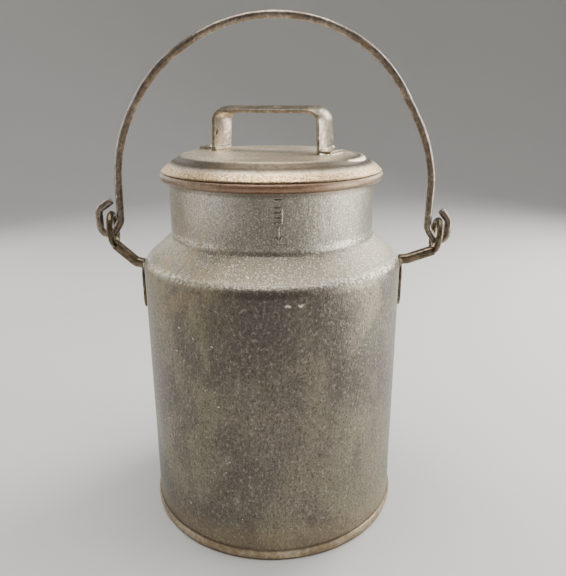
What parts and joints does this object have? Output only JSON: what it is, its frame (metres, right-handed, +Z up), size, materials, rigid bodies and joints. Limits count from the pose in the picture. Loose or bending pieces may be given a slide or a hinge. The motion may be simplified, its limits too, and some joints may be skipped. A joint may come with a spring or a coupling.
{
  "type": "milk can",
  "caption": "Small tinned steel carrying milk can with a conical shoulder, straight neck, plug lid with strap handle, and a hooked wire bail.",
  "frame": {"origin": "centre of the foot on the floor, on the can's axis", "axes": "+Z up along the can, -Y towards its front, the ears and the bail's ends along X"},
  "size_m": [0.2367, 0.173, 0.328],
  "materials": {
    "tinned_steel": "old dull tin with vertical draw streaks and mottling",
    "iron_wire": "plain iron wire",
    "tan_hoop": "rubbed tin, tan from wear",
    "lid_tin": "warm worn tin, brighter than the body",
    "handle_strap": "brown worn strap, bright tin at the feet",
    "dark_iron": "forged iron, dark olive brown with light rust",
    "bail_iron": "dark worn iron wire"
  },
  "bodies": {
    "can": {"can_shell": "tinned_steel", "mouth_wire": "iron_wire", "bottom_pan": "tinned_steel", "foot_hoop": "tan_hoop", "left_ear": "dark_iron", "right_ear": "dark_iron"},
    "lid": {"lid_cover": "lid_tin", "lid_collar": "lid_tin", "lid_handle": "handle_strap"},
    "bail": {"bail": "bail_iron"}
  },
  "joints": [
    {"name": "lid_lift", "type": "slide", "parent": "can", "child": "lid", "axis": [0, 0, 1], "range_m": [0, 0.038]},
    {"name": "bail_swing", "type": "hinge", "parent": "can", "child": "bail", "pos_m": [0, 0, 0.19247], "axis": [0.9996, 0, -0.0278], "range_deg": [-136, 136]}
  ]
}
